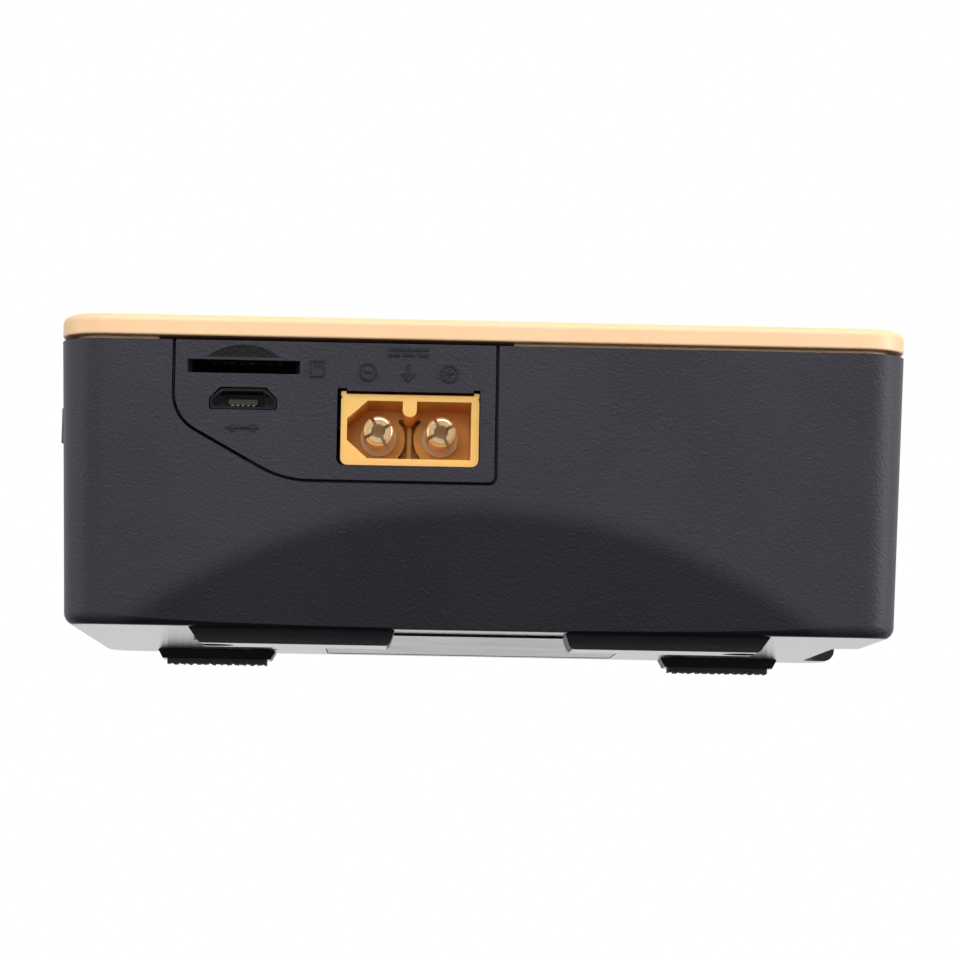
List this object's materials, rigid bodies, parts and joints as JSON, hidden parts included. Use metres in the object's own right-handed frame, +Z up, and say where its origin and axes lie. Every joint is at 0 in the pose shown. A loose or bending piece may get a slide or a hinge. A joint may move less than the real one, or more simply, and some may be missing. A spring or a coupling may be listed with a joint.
{
  "type": "balance battery charger",
  "caption": "Compact DC-input balance charger with ports, jog wheel, push button, cooling fan and a screen framed by a light bezel on a dark box.",
  "frame": {"origin": "on the resting plane under the skids and feet, below the middle of the case", "axes": "+Z up from the table, +X along the case's longest side, -Y out of the wall with the input ports"},
  "size_m": [0.0999, 0.0681, 0.038],
  "materials": {
    "case_plastic": "charcoal, fine spark-eroded grain",
    "bezel_plastic": "pale orange, smooth satin",
    "window_glass": "dark tinted, glossy",
    "screen": "dark display layer",
    "bright_steel": "bright nickel-plated sheet",
    "dark_nickel": "dark nickel-plated sheet",
    "screw_steel": "blackened steel",
    "gold_contact": "gold plated, bright",
    "tinned_pin": "tin plated",
    "amber_nylon": "amber glass-filled nylon",
    "white_nylon": "natural nylon",
    "board_laminate": "dark solder mask",
    "black_moulding": "black moulded nylon",
    "chip_epoxy": "moulded epoxy",
    "wheel_plastic": "black knurled",
    "button_plastic": "pale orange, smooth satin",
    "foot_rubber": "soft ribbed rubber",
    "label_film": "plain dark film, blank",
    "spacer_brass": "turned",
    "sink_aluminium": "extruded, matt",
    "pad_silicone": "grey-blue thermal pad",
    "core_iron": "coated powder core",
    "copper_wire": "enamelled copper",
    "capacitor_sleeve": "dark sleeve over aluminium",
    "flex_film": "amber polyimide film"
  },
  "bodies": {
    "case": {"balance_pins": "tinned_pin", "balance_socket": "white_nylon", "base_screws": "screw_steel", "bezel_screws": "screw_steel", "board_header": "black_moulding", "board_nuts": "bright_steel", "board_spacers": "spacer_brass", "button_switch": "black_moulding", "buzzer": "black_moulding", "capacitors": "capacitor_sleeve", "card_contacts": "gold_contact", "card_socket": "black_moulding", "control_pcb": "board_laminate", "controller_chips": "chip_epoxy", "display_window": "window_glass", "driver_chips": "chip_epoxy", "encoder_base": "black_moulding", "fan_bearing": "spacer_brass", "fan_frame": "black_moulding", "fan_screws": "screw_steel", "fan_stator": "core_iron", "flex_cable": "flex_film", "flex_socket": "black_moulding", "header_pins": "gold_contact", "heatsink": "sink_aluminium", "inductor_cores": "core_iron", "inductor_windings": "copper_wire", "input_housing": "amber_nylon", "input_pins": "gold_contact", "label_plate": "label_film", "lcd_module": "screen", "lcd_tray": "bright_steel", "lower_case": "case_plastic", "output_housing": "amber_nylon", "output_sockets": "gold_contact", "port_panel": "case_plastic", "power_pcb": "board_laminate", "power_transistors": "chip_epoxy", "rubber_feet": "foot_rubber", "shunt_resistors": "chip_epoxy", "spacer_screws": "screw_steel", "thermal_pad": "pad_silicone", "top_bezel": "bezel_plastic", "usb_contacts": "gold_contact", "usb_shell": "dark_nickel", "usb_tongue": "black_moulding"},
    "fan": {"fan_rotor": "black_moulding", "fan_shaft": "tinned_pin", "rotor_magnet": "core_iron"},
    "wheel_slide": {"wheel_carrier": "black_moulding", "wheel_axle": "tinned_pin"},
    "wheel": {"jog_wheel": "wheel_plastic"},
    "button": {"push_button": "button_plastic"}
  },
  "joints": [
    {"name": "fan_spin", "type": "hinge", "parent": "case", "child": "fan", "pos_m": [0, 0.002, 0.011], "axis": [0, 0, 1], "continuous": true},
    {"name": "wheel_press", "type": "slide", "parent": "case", "child": "wheel_slide", "axis": [1, 0, 0], "range_m": [0, 0.0005], "stiffness_N_per_m": 600, "springref_m": -0.0005},
    {"name": "wheel_spin", "type": "hinge", "parent": "wheel_slide", "child": "wheel", "pos_m": [-0.0432, 0, 0.02785], "axis": [0, 0, 1], "continuous": true},
    {"name": "button_press", "type": "slide", "parent": "case", "child": "button", "axis": [0, 0, -1], "range_m": [0, 0.0005], "stiffness_N_per_m": 800, "springref_m": -0.0005}
  ]
}
